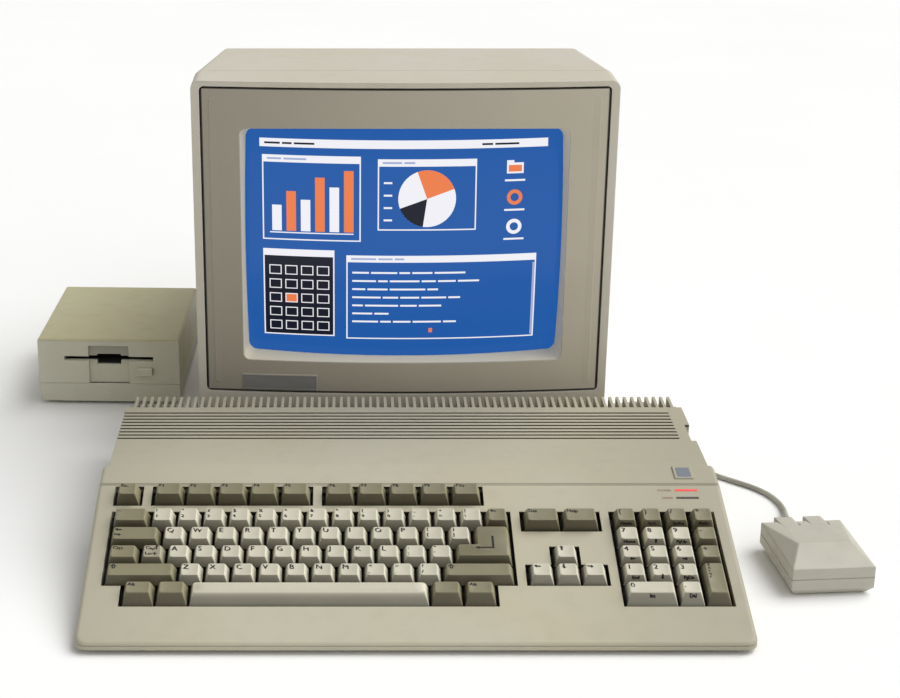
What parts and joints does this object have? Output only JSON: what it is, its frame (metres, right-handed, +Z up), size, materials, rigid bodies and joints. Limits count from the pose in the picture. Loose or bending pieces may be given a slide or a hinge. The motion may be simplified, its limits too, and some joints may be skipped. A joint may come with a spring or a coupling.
{
  "type": "vintage home computer set",
  "caption": "Beige wedge-shaped home computer with built-in keyboard, colour monitor, external disk drive and corded ball mouse.",
  "frame": {"origin": "bottom centre of the box of the set, measured without the mouse cord, on the desk", "axes": "+X to the right seen from the keyboard side, +Y away from the user towards the back of the monitor, +Z up"},
  "size_m": [0.6706, 0.734, 0.3255],
  "materials": {
    "case_plastic": "fine even texture, moulded",
    "light_key_plastic": "smooth moulded",
    "dark_key_plastic": "smooth moulded",
    "inner_plastic": "smooth",
    "inner_metal": "plated sheet",
    "board_laminate": "glass laminate with solder mask",
    "connector_shell": "plated",
    "lamp_plastic": "clear tinted",
    "rubber": "moulded",
    "monitor_plastic": "fine even texture",
    "bezel_plastic": "fine even texture",
    "tube_glass": "dark tinted",
    "copper_winding": "enamelled wire",
    "drive_metal": "satin paint",
    "drive_plastic": "fine even texture",
    "mouse_plastic": "fine even texture",
    "ball_rubber": "coated ball",
    "cord_jacket": "smooth jacket"
  },
  "bodies": {
    "set": {"case_screws": "inner_metal", "computer_base": "case_plastic", "computer_top_cover": "case_plastic", "deflection_yoke": "copper_winding", "disk_drive_base": "drive_metal", "disk_drive_cover": "drive_metal", "disk_drive_front": "drive_plastic", "disk_drive_mechanism": "inner_metal", "indicator_lamps": "lamp_plastic", "keyboard_plate": "inner_plastic", "main_board": "board_laminate", "monitor_bezel": "bezel_plastic", "monitor_board": "board_laminate", "monitor_front_frame": "monitor_plastic", "monitor_rear_cabinet": "monitor_plastic", "mouse_ball_ring": "mouse_plastic", "mouse_base_shell": "mouse_plastic", "mouse_cable": "cord_jacket", "mouse_cable_coil": "cord_jacket", "mouse_plug": "cord_jacket", "mouse_strain_relief": "cord_jacket", "mouse_top_shell": "mouse_plastic", "picture_tube": "tube_glass", "rear_connectors": "connector_shell", "rubber_feet": "rubber", "side_disk_drive": "inner_metal", "trapdoor_cover": "case_plastic"},
    "key_caps_lock_body": {"key_caps_lock": "dark_key_plastic"},
    "key_control_body": {"key_control": "dark_key_plastic"},
    "key_cursor_down_body": {"key_cursor_down": "light_key_plastic"},
    "key_cursor_left_body": {"key_cursor_left": "light_key_plastic"},
    "key_cursor_right_body": {"key_cursor_right": "light_key_plastic"},
    "key_cursor_up_body": {"key_cursor_up": "light_key_plastic"},
    "key_escape_body": {"key_escape": "dark_key_plastic"},
    "key_left_shift_body": {"key_left_shift": "dark_key_plastic"},
    "key_return_body": {"key_return": "dark_key_plastic"},
    "key_right_shift_body": {"key_right_shift": "dark_key_plastic"},
    "key_tab_body": {"key_tab": "dark_key_plastic"},
    "keypad_enter_body": {"keypad_enter": "dark_key_plastic"},
    "keypad_keys_body": {"keypad_keys": "light_key_plastic"},
    "keys_delete_help_body": {"keys_delete_help": "dark_key_plastic"},
    "keys_function_body": {"keys_function": "dark_key_plastic"},
    "keys_home_row_body": {"keys_home_row": "light_key_plastic"},
    "keys_lower_row_body": {"keys_lower_row": "light_key_plastic"},
    "keys_modifiers_body": {"keys_modifiers": "dark_key_plastic"},
    "keys_number_row_body": {"keys_number_row": "light_key_plastic"},
    "keys_upper_row_body": {"keys_upper_row": "light_key_plastic"},
    "space_bar_body": {"space_bar": "light_key_plastic"},
    "side_eject_button_body": {"side_eject_button": "dark_key_plastic"},
    "expansion_cover_body": {"expansion_cover": "case_plastic"},
    "monitor_power_button_body": {"monitor_power_button": "bezel_plastic"},
    "monitor_volume_knob_body": {"monitor_volume_knob": "bezel_plastic"},
    "disk_drive_button_body": {"disk_drive_button": "drive_plastic"},
    "mouse_left_button_body": {"mouse_left_button": "mouse_plastic"},
    "mouse_right_button_body": {"mouse_right_button": "mouse_plastic"},
    "mouse_ball_body": {"mouse_ball": "ball_rubber"},
    "mouse_forward_roller_body": {"mouse_forward_roller": "inner_metal"},
    "mouse_side_roller_body": {"mouse_side_roller": "inner_metal"}
  },
  "joints": [
    {"name": "key_caps_lock_press", "type": "slide", "parent": "set", "child": "key_caps_lock_body", "axis": [0, 0.2832, -0.9591], "range_m": [0, 0.0035], "stiffness_N_per_m": 150, "springref_m": -0.004},
    {"name": "key_control_press", "type": "slide", "parent": "set", "child": "key_control_body", "axis": [0, 0.2832, -0.9591], "range_m": [0, 0.0035], "stiffness_N_per_m": 150, "springref_m": -0.004},
    {"name": "key_cursor_down_press", "type": "slide", "parent": "set", "child": "key_cursor_down_body", "axis": [0, 0.2832, -0.9591], "range_m": [0, 0.0035], "stiffness_N_per_m": 150, "springref_m": -0.004},
    {"name": "key_cursor_left_press", "type": "slide", "parent": "set", "child": "key_cursor_left_body", "axis": [0, 0.2832, -0.9591], "range_m": [0, 0.0035], "stiffness_N_per_m": 150, "springref_m": -0.004},
    {"name": "key_cursor_right_press", "type": "slide", "parent": "set", "child": "key_cursor_right_body", "axis": [0, 0.2832, -0.9591], "range_m": [0, 0.0035], "stiffness_N_per_m": 150, "springref_m": -0.004},
    {"name": "key_cursor_up_press", "type": "slide", "parent": "set", "child": "key_cursor_up_body", "axis": [0, 0.2832, -0.9591], "range_m": [0, 0.0035], "stiffness_N_per_m": 150, "springref_m": -0.004},
    {"name": "key_escape_press", "type": "slide", "parent": "set", "child": "key_escape_body", "axis": [0, 0.2832, -0.9591], "range_m": [0, 0.0035], "stiffness_N_per_m": 150, "springref_m": -0.004},
    {"name": "key_left_shift_press", "type": "slide", "parent": "set", "child": "key_left_shift_body", "axis": [0, 0.2832, -0.9591], "range_m": [0, 0.0035], "stiffness_N_per_m": 150, "springref_m": -0.004},
    {"name": "key_return_press", "type": "slide", "parent": "set", "child": "key_return_body", "axis": [0, 0.2832, -0.9591], "range_m": [0, 0.0035], "stiffness_N_per_m": 150, "springref_m": -0.004},
    {"name": "key_right_shift_press", "type": "slide", "parent": "set", "child": "key_right_shift_body", "axis": [0, 0.2832, -0.9591], "range_m": [0, 0.0035], "stiffness_N_per_m": 150, "springref_m": -0.004},
    {"name": "key_tab_press", "type": "slide", "parent": "set", "child": "key_tab_body", "axis": [0, 0.2832, -0.9591], "range_m": [0, 0.0035], "stiffness_N_per_m": 150, "springref_m": -0.004},
    {"name": "keypad_enter_press", "type": "slide", "parent": "set", "child": "keypad_enter_body", "axis": [0, 0.2832, -0.9591], "range_m": [0, 0.0035], "stiffness_N_per_m": 150, "springref_m": -0.004},
    {"name": "keypad_keys_press", "type": "slide", "parent": "set", "child": "keypad_keys_body", "axis": [0, 0.2832, -0.9591], "range_m": [0, 0.0035], "stiffness_N_per_m": 150, "springref_m": -0.004},
    {"name": "keys_delete_help_press", "type": "slide", "parent": "set", "child": "keys_delete_help_body", "axis": [0, 0.2832, -0.9591], "range_m": [0, 0.0035], "stiffness_N_per_m": 150, "springref_m": -0.004},
    {"name": "keys_function_press", "type": "slide", "parent": "set", "child": "keys_function_body", "axis": [0, 0.2832, -0.9591], "range_m": [0, 0.0035], "stiffness_N_per_m": 150, "springref_m": -0.004},
    {"name": "keys_home_row_press", "type": "slide", "parent": "set", "child": "keys_home_row_body", "axis": [0, 0.2832, -0.9591], "range_m": [0, 0.0035], "stiffness_N_per_m": 150, "springref_m": -0.004},
    {"name": "keys_lower_row_press", "type": "slide", "parent": "set", "child": "keys_lower_row_body", "axis": [0, 0.2832, -0.9591], "range_m": [0, 0.0035], "stiffness_N_per_m": 150, "springref_m": -0.004},
    {"name": "keys_modifiers_press", "type": "slide", "parent": "set", "child": "keys_modifiers_body", "axis": [0, 0.2832, -0.9591], "range_m": [0, 0.0035], "stiffness_N_per_m": 150, "springref_m": -0.004},
    {"name": "keys_number_row_press", "type": "slide", "parent": "set", "child": "keys_number_row_body", "axis": [0, 0.2832, -0.9591], "range_m": [0, 0.0035], "stiffness_N_per_m": 150, "springref_m": -0.004},
    {"name": "keys_upper_row_press", "type": "slide", "parent": "set", "child": "keys_upper_row_body", "axis": [0, 0.2832, -0.9591], "range_m": [0, 0.0035], "stiffness_N_per_m": 150, "springref_m": -0.004},
    {"name": "space_bar_press", "type": "slide", "parent": "set", "child": "space_bar_body", "axis": [0, 0.2832, -0.9591], "range_m": [0, 0.0035], "stiffness_N_per_m": 150, "springref_m": -0.004},
    {"name": "side_eject_button_press", "type": "slide", "parent": "set", "child": "side_eject_button_body", "axis": [-1, 0, 0], "range_m": [0, 0.003], "stiffness_N_per_m": 250, "springref_m": -0.002},
    {"name": "expansion_cover_slide", "type": "slide", "parent": "set", "child": "expansion_cover_body", "axis": [-1, 0, 0], "range_m": [0, 0.03]},
    {"name": "monitor_power_button_press", "type": "slide", "parent": "set", "child": "monitor_power_button_body", "axis": [0, 1, 0], "range_m": [0, 0.003], "stiffness_N_per_m": 300, "springref_m": -0.002},
    {"name": "disk_drive_button_press", "type": "slide", "parent": "set", "child": "disk_drive_button_body", "axis": [0.0349, 0.9994, 0], "range_m": [0, 0.003], "stiffness_N_per_m": 250, "springref_m": -0.002},
    {"name": "volume_knob_turn", "type": "hinge", "parent": "set", "child": "monitor_volume_knob_body", "pos_m": [0.09171, -0.02, 0.03], "axis": [0, 1, 0], "range_deg": [-140, 140]},
    {"name": "mouse_left_button_press", "type": "hinge", "parent": "set", "child": "mouse_left_button_body", "pos_m": [0.28769, -0.21498, 0.0185], "axis": [-0.9969, -0.0785, 0], "range_deg": [0, 2.4], "stiffness_Nm_per_rad": 0.2, "springref_deg": -2.86},
    {"name": "mouse_right_button_press", "type": "hinge", "parent": "set", "child": "mouse_right_button_body", "pos_m": [0.31042, -0.21319, 0.0185], "axis": [-0.9969, -0.0785, 0], "range_deg": [0, 2.4], "stiffness_Nm_per_rad": 0.2, "springref_deg": -2.86},
    {"name": "mouse_ball_roll", "type": "hinge", "parent": "set", "child": "mouse_ball_body", "pos_m": [0.30121, -0.2415, 0.0112], "axis": [0.9969, 0.0785, 0], "continuous": true},
    {"name": "forward_roller_turn", "type": "hinge", "parent": "set", "child": "mouse_forward_roller_body", "pos_m": [0.30223, -0.25451, 0.0112], "axis": [0.9969, 0.0785, 0], "continuous": true},
    {"name": "side_roller_turn", "type": "hinge", "parent": "set", "child": "mouse_side_roller_body", "pos_m": [0.31422, -0.24048, 0.0112], "axis": [-0.0785, 0.9969, 0], "continuous": true}
  ]
}
